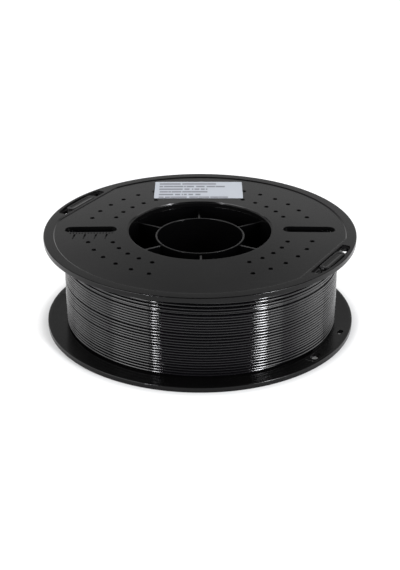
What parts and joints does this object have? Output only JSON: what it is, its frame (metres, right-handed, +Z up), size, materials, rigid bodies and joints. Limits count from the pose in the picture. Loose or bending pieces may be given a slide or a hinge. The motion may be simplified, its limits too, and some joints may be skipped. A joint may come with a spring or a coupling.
{
  "type": "filament spool",
  "caption": "Wound filament spool: flat perforated flanges with filament clips in their rims, a webbed drum with an open bore, and a blank label.",
  "frame": {"origin": "centre of the plane of the lower rim, on the spool's own axis; the spool stands on z = 0", "axes": "+Z up the spool's axis from the lower rim to the upper rim; -Y towards the front of the picture, so the label is at +Y; the upper flange's sight slots lie along X, the one with the tick marks at -X"},
  "size_m": [0.2, 0.2, 0.0626],
  "materials": {
    "flange": "black moulded plastic, satin to semi-gloss",
    "drum": "black moulded plastic, semi-gloss",
    "filament": "dark grey extruded filament, glossy and faintly see-through",
    "label": "light grey label stock, matt"
  },
  "bodies": {
    "root": {"upper_flange": "flange", "lower_flange": "flange", "drum": "drum", "filament_core": "filament", "filament_outer_layer": "filament", "label": "label"}
  },
  "joints": []
}
